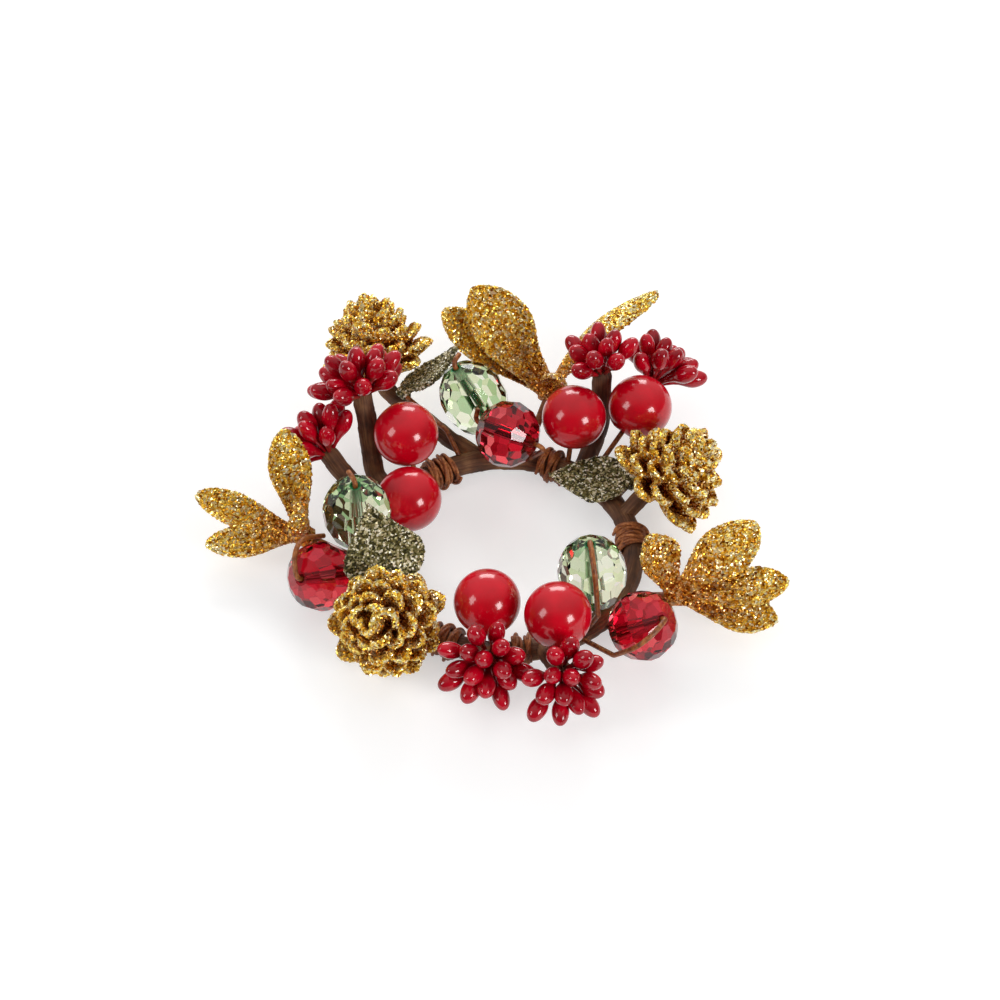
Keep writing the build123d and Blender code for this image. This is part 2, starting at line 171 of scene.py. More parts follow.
def new_piece(name, points, faces, body, smooth=True):
    """A mesh object from points in millimetres, riding on a body."""
    mesh = bpy.data.meshes.new(name)
    mesh.from_pydata([p * MM for p in points], [], faces)
    mesh.polygons.foreach_set("use_smooth", [smooth] * len(mesh.polygons))
    mesh.update()
    piece = bpy.data.objects.new(name, mesh)
    bpy.context.scene.collection.objects.link(piece)
    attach(piece, body)
    return piece


def taped_tube(name, way, radius, seed, closed=False):
    """A tube of wound, creased tape along even points, with its length and girth as UVs in metres."""
    points, faces, uvs = [], [], []
    side = Vector((0, 0, 1))
    step = (way[1] - way[0]).length
    lap_start, wander_start = seed * 0.37, seed * 7.1
    narrowing = [1.0] * len(way)
    if not closed:
        onward = (way[-1] - way[-2]).normalized()
        end = way[-1]
        for k in range(1, END_RINGS):
            lean = k * pi / 2 / END_RINGS
            way.append(end + onward * radius * sin(lean))
            narrowing.append(cos(lean))
    count = len(way)
    for i, centre in enumerate(way):
        ahead = way[(i + 1) % count] if closed or i + 1 < count else centre
        behind = way[i - 1] if closed or i else centre
        along = (ahead - behind).normalized()
        side = (side - along * side.dot(along)).normalized()
        across = along.cross(side)
        for j in range(RING_SIDES):
            angle = 2 * pi * j / RING_SIDES
            ray = side * cos(angle) + across * sin(angle)
            lap = (i * step / TAPE_PITCH + j / RING_SIDES + lap_start) % 1
            if lap > LAP_CREST:
                lap = (1 - lap) * LAP_CREST / (1 - LAP_CREST)
            swell = TAPE_LAP * (lap - LAP_SINK)
            wander = CREASE_WANDER * noise.noise(Vector((i * step * WANDER_RATE, wander_start, 0)))
            for k, depth, twist in CREASES:
                swell += depth * sin(k * (angle + wander + seed) + twist * i * step)
            swell += KNOB_HEIGHT * noise.noise(centre * KNOB_RATE + ray / 2 + Vector((seed, 0, 0)))
            points.append(centre + ray * (radius + swell) * narrowing[i])
    rings = count if closed else count - 1
    for i in range(rings):
        for j in range(RING_SIDES):
            a, b = i * RING_SIDES, (i + 1) % count * RING_SIDES
            k = (j + 1) % RING_SIDES
            faces.append((a + j, a + k, b + k, b + j))
            lengths = (i * step, i * step, (i + 1) * step, (i + 1) * step)
            girths = (j, j + 1, j + 1, j)
            uvs += [(u * MM, v / RING_SIDES * 2 * pi * radius * MM) for u, v in zip(lengths, girths)]
    if not closed:
        for ring, inward in ((0, -1), (count - 1, 1)):
            first = ring * RING_SIDES
            crown = len(points)
            end = way[ring] - way[ring - inward]
            points.append(way[ring] + end.normalized() * END_CROWN)
            for j in range(RING_SIDES):
                corners = (first + j, first + (j + 1) % RING_SIDES, crown)
                faces.append(corners if inward > 0 else corners[::-1])
                uvs += [(way_u * MM, j / RING_SIDES * 2 * pi * radius * MM) for way_u in (0, 0, 0.5)]
    piece = new_piece(name, points, faces, "ring")
    layer = piece.data.uv_layers.new(name="tape")
    for loop, uv in zip(layer.data, uvs):
        loop.uv = uv
    return piece


# Crepe paper tape, wax-bonded and pressed flat: matte, with fibres along the stem and rubbed pale patches
paper_tape, tree = new_finish("crepe_paper_tape")
length_and_girth = add_node(tree, "ShaderNodeUVMap", uv_map="tape")
fibre_place = add_node(tree, "ShaderNodeVectorMath", {
    0: length_and_girth.outputs["UV"],
    1: (1 / (FIBRE_LENGTH * MM), 1 / (FIBRE_WIDTH * MM), 1.0),
}, operation="MULTIPLY")
fibres = add_node(tree, "ShaderNodeTexNoise", {
    "Vector": fibre_place.outputs["Vector"], "Scale": 1.0, "Detail": 5.0, "Roughness": 0.65,
})
body_place = add_node(tree, "ShaderNodeTexCoord")
blotches = add_node(tree, "ShaderNodeTexNoise", {
    "Vector": body_place.outputs["Object"], "Scale": 1 / (BLOTCH_SIZE * MM), "Detail": 3.0,
})
tape_shade = add_node(tree, "ShaderNodeMath", {
    0: fibres.outputs["Fac"], 1: blotches.outputs["Fac"],
}, operation="ADD")
tape_half = add_node(tree, "ShaderNodeMath", {0: tape_shade.outputs["Value"], 1: 0.5}, operation="MULTIPLY")
tape_colour = add_node(tree, "ShaderNodeValToRGB", {"Fac": tape_half.outputs["Value"]})
colour_steps(tape_colour, ((0.34, TAPE_DARK), (0.5, TAPE_MIDDLE), (0.68, TAPE_LIGHT)))
fibre_bump = add_node(tree, "ShaderNodeBump", {
    "Height": fibres.outputs["Fac"], "Distance": 0.25 * MM, "Strength": 0.8,
})
tape_surface = add_node(tree, "ShaderNodeBsdfPrincipled", {
    "Base Color": tape_colour.outputs["Color"], "Roughness": 0.7, "Normal": fibre_bump.outputs["Normal"],
})
add_node(tree, "ShaderNodeOutputMaterial", {"Surface": tape_surface.outputs["BSDF"]})

hoop_steps = round(2 * pi * HOOP_RADIUS / RING_STEP)
hoop_way = [spot(360 * i / hoop_steps, 0, 0) for i in range(hoop_steps)]
hoop = taped_tube("hoop_tape", hoop_way, HOOP_TAPE_RADIUS, 1, closed=True)
hoop.data.materials.append(paper_tape)
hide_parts("hoop_wrap")

# Drawn steel wire, sealed in the tape: plain grey metal with faint draw lines along it
DRAW_LINE = 0.15
drawn_steel, tree = new_finish("drawn_steel_wire")
steel_place = add_node(tree, "ShaderNodeTexCoord")
draw_lines = add_node(tree, "ShaderNodeTexNoise", {
    "Vector": steel_place.outputs["Object"], "Scale": 1 / (DRAW_LINE * MM), "Detail": 2.0,
})
steel_colour = add_node(tree, "ShaderNodeValToRGB", {"Fac": draw_lines.outputs["Fac"]})
colour_steps(steel_colour, ((0.3, "#6E6C6A"), (0.7, "#A3A09C")))
steel_surface = add_node(tree, "ShaderNodeBsdfPrincipled", {
    "Base Color": steel_colour.outputs["Color"], "Metallic": 1.0, "Roughness": 0.35,
})
add_node(tree, "ShaderNodeOutputMaterial", {"Surface": steel_surface.outputs["BSDF"]})
nodes["hoop_wire"].data.materials.clear()
nodes["hoop_wire"].data.materials.append(drawn_steel)


# Taped stems. Thicker wires carry the buds and cones, wound with the same tape and laid against the hoop.
# Each bud stem ends in a small dome that the bud threads come out of.
BUD_STEM_RADIUS = 2.15
CONE_STEM_RADIUS = 1.95
STEM_BEND = 4.0
BUNCHES = {
    "a1": {
        "root": 149, "knee": (144, 7.5, 2.6), "dome": (136.6, 14.8, 18.0),
        "aim": (118, 58), "fan": (74, 21),
    },
    "a2": {
        "root": 160, "knee": (155, 8.0, 3.6), "dome": (151.4, 15.8, 8.2),
        "aim": (146, 40), "fan": (62, 17),
    },
    "b1": {
        "root": 53, "knee": (60, 14.6, 1.6), "dome": (61.6, 17.4, 13.6),
        "aim": (165, 82), "fan": (47, 10),
    },
    "b2": {
        "root": 38.5, "knee": (46.5, 21.0, 1.4), "dome": (53.2, 26.6, 6.8),
        "aim": (52, 48), "fan": (60, 16),
    },
    "c1": {
        "root": -100, "knee": None, "dome": (-95.4, 6.4, 6.2),
        "aim": (-100, 34), "fan": (60, 16),
    },
    "c2": {
        "root": -73, "knee": None, "dome": (-73, 12.2, 6.8),
        "aim": (-76, 30), "fan": (58, 15),
    },
}
CONE_STEMS = {
    "a": {"root": -134, "run": None, "base": (-134.4, 5.4, 5.6), "axis": (-110, 45), "lead": 3.0},
    "b": {"root": 99, "run": (110, 6.5, 1.2), "base": (119.9, 27.8, 5.8), "axis": (118, 58), "lead": 4.0},
    "c": {"root": 22, "run": None, "base": (22.4, 7.0, 6.2), "axis": (2, 48), "lead": 3.0},
}
for seed, (tag, bunch) in enumerate(BUNCHES.items(), start=2):
    corners = [spot(bunch["root"], 0, 0), spot(*bunch["dome"])]
    if bunch["knee"]:
        corners.insert(1, spot(*bunch["knee"]))
    way = bent(corners, STEM_BEND, RING_STEP)
    bud_stem = taped_tube(f"bud_stem_{tag}", way, BUD_STEM_RADIUS, seed)
    bud_stem.data.materials.append(paper_tape)
    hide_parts(f"pip_stem_{tag}")
for seed, (tag, stem) in enumerate(CONE_STEMS.items(), start=8):
    base = spot(*stem["base"])
    corners = [spot(stem["root"], 0, 0), base - heading(*stem["axis"]) * stem["lead"], base]
    if stem["run"]:
        corners.insert(1, spot(*stem["run"]))
    way = bent(corners, STEM_BEND, RING_STEP)
    cone_stem = taped_tube(f"cone_stem_tape_{tag}", way, CONE_STEM_RADIUS, seed)
    cone_stem.data.materials.append(paper_tape)
    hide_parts(f"cone_stem_{tag}")


# Bindings. Two-ply paper twine wound tight round the hoop where stems join it, with two turns crossing back
# over the others. The undersides are pressed flat where the ring stands.
TWINE_COIL_RADIUS = 2.95
TWINE_PITCH = 1.25
PLY_RADIUS = 0.36
PLY_OFFSET = 0.26
PLY_LAY = 12.0
PLY_SIDES = 8
PLY_STEP = 0.3
# Each wrap: where it starts, in turns, its slide along the hoop in pitches per turn, and how far out it lies
WRAPS = ((0.0, 1.0, 0.0), (0.5, -2.2, 0.5))
CROSSING_TURNS = 2
LOOSE_OUT = 0.12
LOOSE_ALONG = 0.22
# A way that no strand runs along, from which its first ring is set out
START_SIDE = Vector((0.3, 0.2, 1)).normalized()
TWINE_LIGHT = "#D08A50"
TWINE_MIDDLE = "#A05C2E"
TWINE_DARK = "#562812"
BINDINGS = {"a1": (-117, 5), "a2": (-156, 4), "b1": (121, 5), "b2": (67.5, 3), "c1": (6, 5), "c2": (-84, 3)}


def add_strand(points, faces, way, radius, sides):
    """Adds a closed round strand along these points to a mesh being built."""
    first = len(points)
    side = START_SIDE
    for i, centre in enumerate(way):
        along = (way[min(i + 1, len(way) - 1)] - way[max(i - 1, 0)]).normalized()
        side = (side - along * side.dot(along)).normalized()
        across = along.cross(side)
        for j in range(sides):
            angle = 2 * pi * j / sides
            points.append(centre + (side * cos(angle) + across * sin(angle)) * radius)
    for i in range(len(way) - 1):
        for j in range(sides):
            a, b, k = first + i * sides, first + (i + 1) * sides, (j + 1) % sides
            faces.append((a + j, a + k, b + k, b + j))
    faces.append(tuple(first + j for j in reversed(range(sides))))
    faces.append(tuple(first + (len(way) - 1) * sides + j for j in range(sides)))


def two_ply(points, faces, way):
    """Adds two plies twisted round each other along these points."""
    for ply in (0, pi):
        strand = []
        side = START_SIDE
        walked = 0.0
        for i, centre in enumerate(way):
            along = (way[min(i + 1, len(way) - 1)] - way[max(i - 1, 0)]).normalized()
            side = (side - along * side.dot(along)).normalized()
            turn = 2 * pi * walked / PLY_LAY + ply
            strand.append(centre + (side * cos(turn) + along.cross(side) * sin(turn)) * PLY_OFFSET)
            if i + 1 < len(way):
                walked += (way[i + 1] - centre).length
        add_strand(points, faces, strand, PLY_RADIUS, PLY_SIDES)


# Twisted paper cord: softer and redder than the tape, with a faint waxed sheen along each ply
paper_twine, tree = new_finish("twisted_paper_twine")
# Drawn coarser than real paper fibres, so that they show
TWINE_FIBRE = 0.5
TWINE_PATCH = 2.2
twine_place = add_node(tree, "ShaderNodeTexCoord")
twine_fibres = add_node(tree, "ShaderNodeTexNoise", {
    "Vector": twine_place.outputs["Object"], "Scale": 1 / (TWINE_FIBRE * MM), "Detail": 3.0,
})
twine_patches = add_node(tree, "ShaderNodeTexNoise", {
    "Vector": twine_place.outputs["Object"], "Scale": 1 / (TWINE_PATCH * MM), "Detail": 2.0,
})
twine_shade = add_node(tree, "ShaderNodeMath", {
    0: twine_fibres.outputs["Fac"], 1: twine_patches.outputs["Fac"],
}, operation="ADD")
twine_half = add_node(tree, "ShaderNodeMath", {0: twine_shade.outputs["Value"], 1: 0.5}, operation="MULTIPLY")
twine_colour = add_node(tree, "ShaderNodeValToRGB", {"Fac": twine_half.outputs["Value"]})
colour_steps(twine_colour, ((0.32, TWINE_DARK), (0.5, TWINE_MIDDLE), (0.68, TWINE_LIGHT)))
twine_bump = add_node(tree, "ShaderNodeBump", {
    "Height": twine_fibres.outputs["Fac"], "Distance": 0.12 * MM, "Strength": 0.7,
})
twine_surface = add_node(tree, "ShaderNodeBsdfPrincipled", {
    "Base Color": twine_colour.outputs["Color"], "Roughness": 0.5, "Normal": twine_bump.outputs["Normal"],
})
add_node(tree, "ShaderNodeOutputMaterial", {"Surface": twine_surface.outputs["BSDF"]})

draw = random.Random(11)
for tag, (bearing, turns) in BINDINGS.items():
    out = heading(bearing, 0)
    run = Vector((0, 0, 1)).cross(out)
    middle = spot(bearing, 0, 0)
    points, faces = [], []
    for start, slide_rate, rise in WRAPS:
        length = CROSSING_TURNS if rise else turns
        count = ceil(length * 2 * pi * TWINE_COIL_RADIUS / PLY_STEP)
        loose = draw.uniform(0, 9)
        way = []
        for i in range(count + 1):
            turn = length * i / count
            angle = 2 * pi * (turn + start)
            reach = TWINE_COIL_RADIUS + rise + LOOSE_OUT * sin(turn * 4.1 + loose)
            slide = slide_rate * TWINE_PITCH * (turn - length / 2) + LOOSE_ALONG * sin(turn * 2.7 + loose)
            ring = out * cos(angle) - Vector((0, 0, 1)) * sin(angle)
            way.append(middle + ring * reach + run * slide)
        two_ply(points, faces, way)
    for point in points:
        point.z = max(point.z, 0.0)
    twine = new_piece(f"twine_binding_{tag}", points, faces, "ring")
    twine.data.materials.append(paper_twine)
    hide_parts(f"binding_{tag}")


# Covered wires. Soft iron wire in a thin copper-brown paper cover holds the berries, beads, flowers and
# leaves. The bead wires go through their beads and are turned over so that the bead can't come off.
WIRE_LIGHT = "#C07A3E"
WIRE_MIDDLE = "#93501F"
WIRE_DARK = "#54260E"
COVER_BAND = 0.9

# Smooth wrapped paper, varnished: satin, with slow bands where the cover laps
covered_wire, tree = new_finish("paper_covered_wire")
wire_place = add_node(tree, "ShaderNodeTexCoord")
bands = add_node(tree, "ShaderNodeTexNoise", {
    "Vector": wire_place.outputs["Object"], "Scale": 1 / (COVER_BAND * MM), "Detail": 4.0, "Roughness": 0.6,
})
wire_colour = add_node(tree, "ShaderNodeValToRGB", {"Fac": bands.outputs["Fac"]})
colour_steps(wire_colour, ((0.3, WIRE_DARK), (0.5, WIRE_MIDDLE), (0.72, WIRE_LIGHT)))
wire_bump = add_node(tree, "ShaderNodeBump", {
    "Height": bands.outputs["Fac"], "Distance": 0.1 * MM, "Strength": 0.5,
})
wire_surface = add_node(tree, "ShaderNodeBsdfPrincipled", {
    "Base Color": wire_colour.outputs["Color"], "Roughness": 0.42, "Normal": wire_bump.outputs["Normal"],
})
add_node(tree, "ShaderNodeOutputMaterial", {"Surface": wire_surface.outputs["BSDF"]})
WIRES = ("berry_wires", "ruby_wire", "green_wire", "flower_stem", "leaf_wire")
for kind in WIRES:
    for spray in "abc":
        wire = nodes[f"{kind}_{spray}"]
        wire.data.materials.clear()
        wire.data.materials.append(covered_wire)


# Berries. Foam balls pushed on their wires and dipped in red lacquer, which pools smooth and leaves a
# shallow dimple where the wire goes in.
BERRY_RADIUS = 7.0
BERRY_RINGS = 56
BERRY_SIDES = 96
DIMPLE_REACH = 0.32
DIMPLE_DEPTH = 0.5
BERRY_ROOTS = {"a1": 134, "a2": 168, "b1": 60.3, "b2": 49.0, "c1": -92, "c2": -64}
LACQUER_RED = "#D4001E"
LACQUER_DEEP = "#B80016"
FLOW_SIZE = 6.0

# Nitrocellulose lacquer, dipped: a soft inner gloss under a hard clear top coat with a slow orange peel
red_lacquer, tree = new_finish("dipped_red_lacquer")
berry_place = add_node(tree, "ShaderNodeTexCoord")
flow = add_node(tree, "ShaderNodeTexNoise", {
    "Vector": berry_place.outputs["Object"], "Scale": 1 / (FLOW_SIZE * MM), "Detail": 2.0,
})
lacquer_colour = add_node(tree, "ShaderNodeValToRGB", {"Fac": flow.outputs["Fac"]})
colour_steps(lacquer_colour, ((0.3, LACQUER_DEEP), (0.65, LACQUER_RED)))
peel = add_node(tree, "ShaderNodeBump", {
    "Height": flow.outputs["Fac"], "Distance": 0.06 * MM, "Strength": 0.15,
})
lacquer_surface = add_node(tree, "ShaderNodeBsdfPrincipled", {
    "Base Color": lacquer_colour.outputs["Color"], "Roughness": 0.35, "IOR": 1.5, "Specular IOR Level": 0.05,
    "Coat Weight": 1.0, "Coat Roughness": 0.14, "Coat IOR": 1.5, "Normal": peel.outputs["Normal"],
})
add_node(tree, "ShaderNodeOutputMaterial", {"Surface": lacquer_surface.outputs["BSDF"]})

for tag, root in BERRY_ROOTS.items():
    low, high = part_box(f"berry_{tag}")
    centre = (low + high) / 2 / MM
    down = (spot(root, 0, 0) - centre).normalized()
    side = down.orthogonal().normalized()
    across = down.cross(side)
    points, faces = [centre + down * (BERRY_RADIUS - DIMPLE_DEPTH), centre - down * BERRY_RADIUS], []
    for i in range(1, BERRY_RINGS):
        lean = pi * i / BERRY_RINGS
        dip = DIMPLE_DEPTH * max(0.0, 1 - (lean / DIMPLE_REACH) ** 2) ** 2
        for j in range(BERRY_SIDES):
            angle = 2 * pi * j / BERRY_SIDES
            ray = down * cos(lean) + (side * cos(angle) + across * sin(angle)) * sin(lean)
            points.append(centre + ray * (BERRY_RADIUS - dip))
    for j in range(BERRY_SIDES):
        k = (j + 1) % BERRY_SIDES
        last = 2 + (BERRY_RINGS - 2) * BERRY_SIDES
        faces.append((0, 2 + k, 2 + j))
        faces.append((1, last + j, last + k))
        for i in range(BERRY_RINGS - 2):
            a, b = 2 + i * BERRY_SIDES, 2 + (i + 1) * BERRY_SIDES
            faces.append((a + j, a + k, b + k, b + j))
    berry = new_piece(f"red_berry_{tag}", points, faces, "ring")
    berry.data.materials.append(red_lacquer)
    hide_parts(f"berry_{tag}")


# Faceted beads. Clear tinted acrylic, moulded with rows of flat facets and a bore along the axis,
# each loose on its wire.
RUBY_SIZE = {"radius": 7.35, "half": 7.1, "rows": (-66, -42, -14, 14, 42, 66), "facets": 14}
GREEN_SIZE = {"radius": 7.25, "half": 9.4, "rows": (-70, -47, -23, 0, 23, 47, 70), "facets": 12}
FACET_SHARE = 0.965
BEAD_BORE = 0.95
BORE_SIDES = 24
BORE_MARGIN = 1.1
BLANK_ROUND = 1.3
BLANK_LONG = 1.93
DRILL_LONG = 4
# Painted reflections and painted shade: each facet takes a tint from these steps, drawn at random and
# darkened toward the poles
RUBY_PAINTED_PANES = ((0.0, "#7E0412"), (0.4, "#CC0C22"), (0.75, "#F04450"), (0.95, "#FABCA8"))
# Painted shade: the bore walls take these deeper, darker tints
RUBY_BORE_PAINTED_SHADE = "#8E0A18"
GREEN_PAINTED_PANES = ((0.0, "#7EB470"), (0.25, "#E0ECBC"), (0.6, "#F8FFE2"), (0.95, "#FFFFF6"))
GREEN_BORE_PAINTED_SHADE = "#1E8A48"
MOULD_FLOW = 9.0
# Drawn coarser than a real drill's marks, so that they show
DRILL_MARK = 0.4


def cut_bead(name, centre, axis, size, body):
    """A bead cut flat by rows of planes round an oval, then bored."""
    radius, half = size["radius"], size["half"]
    cut = bmesh.new()
    bmesh.ops.create_cone(
        cut, cap_ends=True, segments=48,
        radius1=radius * BLANK_ROUND, radius2=radius * BLANK_ROUND, depth=half * BLANK_LONG,
    )
    for row, latitude in enumerate(size["rows"]):
        for facet in range(size["facets"]):
            way = heading((facet + row % 2 / 2) * 360 / size["facets"], latitude)
            flat = Vector((way.x / radius, way.y / radius, way.z / half))
            parted = bmesh.ops.bisect_plane(
                cut, geom=cut.verts[:] + cut.edges[:] + cut.faces[:], dist=1e-5,
                plane_co=flat * (FACET_SHARE / flat.length_squared), plane_no=flat, clear_outer=True,
            )
            rim = [e for e in parted["geom_cut"] if isinstance(e, bmesh.types.BMEdge)]
            if rim:
                bmesh.ops.contextual_create(cut, geom=rim)
    bmesh.ops.recalc_face_normals(cut, faces=cut.faces[:])
    turn = Vector((0, 0, 1)).rotation_difference(axis).to_matrix().to_4x4()
    place = Matrix.Translation(centre) @ turn
    bmesh.ops.transform(cut, matrix=Matrix.Scale(MM, 4) @ place, verts=cut.verts[:])
    mesh = bpy.data.meshes.new(name)
    cut.to_mesh(mesh)
    cut.free()
    bead = bpy.data.objects.new(name, mesh)
    bpy.context.scene.collection.objects.link(bead)
    drill = bmesh.new()
    bmesh.ops.create_cone(
        drill, cap_ends=True, segments=BORE_SIDES,
        radius1=BEAD_BORE, radius2=BEAD_BORE, depth=half * DRILL_LONG,
    )
    bmesh.ops.transform(drill, matrix=Matrix.Scale(MM, 4) @ place, verts=drill.verts[:])
    drill_mesh = bpy.data.meshes.new("bead_drill")
    drill.to_mesh(drill_mesh)
    drill.free()
    drill_bit = bpy.data.objects.new("bead_drill", drill_mesh)
    bpy.context.scene.collection.objects.link(drill_bit)
    bore = bead.modifiers.new("bore", "BOOLEAN")
    bore.operation = "DIFFERENCE"
    bore.solver = "EXACT"
    bore.object = drill_bit
    bpy.context.view_layer.update()
    bored = bpy.data.meshes.new_from_object(bead.evaluated_get(bpy.context.evaluated_depsgraph_get()))
    bead.modifiers.clear()
    bead.data = bored
    bpy.data.objects.remove(drill_bit)
    bored.polygons.foreach_set("use_smooth", [False] * len(bored.polygons))
    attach(bead, body)
    return bead


# Cast acrylic with dye through it: clear, with polished flats and a slow flow line in the moulding
PAINTED_PANES = {"ruby": RUBY_PAINTED_PANES, "green": GREEN_PAINTED_PANES}
BORE_PAINTED_SHADES = {"ruby": RUBY_BORE_PAINTED_SHADE, "green": GREEN_BORE_PAINTED_SHADE}
acrylics = {}
for tint, steps in PAINTED_PANES.items():
    acrylic, tree = new_finish(f"{tint}_acrylic")
    # Painted light: each facet's tint stands in for the bright and dark panes that reflection and refraction
    # give, darker toward the poles
    painted_pane = add_node(tree, "ShaderNodeAttribute", attribute_name="painted_facet_light")
    painted_pane_colour = add_node(tree, "ShaderNodeValToRGB", {"Fac": painted_pane.outputs["Fac"]})
    colour_steps(painted_pane_colour, steps)
    bead_place = add_node(tree, "ShaderNodeTexCoord")
    mould_flow = add_node(tree, "ShaderNodeTexNoise", {
        "Vector": bead_place.outputs["Object"], "Scale": 1 / (MOULD_FLOW * MM), "Detail": 1.0,
    })
    flow_bump = add_node(tree, "ShaderNodeBump", {
        "Height": mould_flow.outputs["Fac"], "Distance": 0.1 * MM, "Strength": 0.2,
    })
    acrylic_surface = add_node(tree, "ShaderNodeBsdfPrincipled", {
        "Base Color": painted_pane_colour.outputs["Color"], "Roughness": 0.03, "IOR": 1.49,
        "Transmission Weight": 1.0, "Normal": flow_bump.outputs["Normal"],
    })
    add_node(tree, "ShaderNodeOutputMaterial", {"Surface": acrylic_surface.outputs["BSDF"]})
    # Painted shade down the bore: the bore walls get a deeper, darker tint than the bead and let less light
    # through
    bore_painted_shade, tree = new_finish(f"{tint}_acrylic_bore")
    bore_place = add_node(tree, "ShaderNodeTexCoord")
    drill_marks = add_node(tree, "ShaderNodeTexNoise", {
        "Vector": bore_place.outputs["Object"], "Scale": 1 / (DRILL_MARK * MM), "Detail": 2.0,
    })
    drill_bump = add_node(tree, "ShaderNodeBump", {
        "Height": drill_marks.outputs["Fac"], "Distance": 0.05 * MM, "Strength": 0.4,
    })
    bore_surface = add_node(tree, "ShaderNodeBsdfPrincipled", {
        "Base Color": linear(BORE_PAINTED_SHADES[tint]), "Roughness": 0.2, "IOR": 1.49, "Transmission Weight": 0.6,
        "Normal": drill_bump.outputs["Normal"],
    })
    add_node(tree, "ShaderNodeOutputMaterial", {"Surface": bore_surface.outputs["BSDF"]})
    acrylics[tint] = (acrylic, bore_painted_shade)

draw = random.Random(17)
for joint in frame["joints"]:
    tint, spray = joint["name"].split("_")[:2]
    size = RUBY_SIZE if tint == "ruby" else GREEN_SIZE
    centre = Vector(joint["pos_m"]) / MM
    axis = Vector(joint["axis"])
    bead = cut_bead(f"{tint}_facet_bead_{spray}", centre, axis, size, joint["child"])
    bead.data.materials.clear()
    for finish in acrylics[tint]:
        bead.data.materials.append(finish)
    # Painted light per facet: a random value, pulled to the dark end toward the poles
    painted_facets = bead.data.attributes.new("painted_facet_light", "FLOAT", "FACE")
    poles = [abs((face.center / MM - centre).dot(axis)) / size["half"] for face in bead.data.polygons]
    painted_facets.data.foreach_set("value", [draw.random() * (1 - pole ** 4) for pole in poles])
    for face in bead.data.polygons:
        reach = face.center / MM - centre
        face.material_index = 1 if (reach - axis * reach.dot(axis)).length < BEAD_BORE * BORE_MARGIN else 0
    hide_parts(f"{tint}_bead_{spray}")


# Buds. Drops of red dough on stiff threads, dipped in gloss and tied in a bunch, so that they fan out
# from the dome of their stem.
BUD_RADIUS = 1.95
BUD_LENGTH = 12.0
BUD_DROP = 7.2
BUD_TIP = 3.2
BUD_NECK = 0.7
BUD_THREAD = 0.35
BUD_ROOT = 0.9
BUD_STAGGER = 0.9
BUD_LENGTH_DRAW = 0.25
BUD_GIRTH_DRAW = (0.92, 1.04)
BUD_SWAY = 0.3
BUD_SIDES = 24
DROP_RINGS = 9
DROP_FULLNESS = 0.8
TIP_RINGS = 8
TIP_FULLNESS = 0.95
FIRST_LEAN = 0.8
THREAD_END = 0.56
THREAD_FLARE = 0.6
GOLDEN_ANGLE = pi * (3 - sqrt(5))
BUD_RED = "#C60020"
BUD_DEEP = "#960014"
BUD_PATCH = 4.0

# Dipped gloss over dyed dough: deep red, wet-looking, darker where the coat is thick
bud_gloss, tree = new_finish("dipped_bud_gloss")
bud_place = add_node(tree, "ShaderNodeTexCoord")
bud_patches = add_node(tree, "ShaderNodeTexNoise", {
    "Vector": bud_place.outputs["Object"], "Scale": 1 / (BUD_PATCH * MM), "Detail": 2.0,
})
bud_colour = add_node(tree, "ShaderNodeValToRGB", {"Fac": bud_patches.outputs["Fac"]})
colour_steps(bud_colour, ((0.35, BUD_DEEP), (0.62, BUD_RED)))
bud_bump = add_node(tree, "ShaderNodeBump", {
    "Height": bud_patches.outputs["Fac"], "Distance": 0.15 * MM, "Strength": 0.3,
})
bud_surface = add_node(tree, "ShaderNodeBsdfPrincipled", {
    "Base Color": bud_colour.outputs["Color"], "Roughness": 0.3, "IOR": 1.5, "Specular IOR Level": 0.05,
    "Coat Weight": 1.0, "Coat Roughness": 0.07, "Normal": bud_bump.outputs["Normal"],
})
add_node(tree, "ShaderNodeOutputMaterial", {"Surface": bud_surface.outputs["BSDF"]})

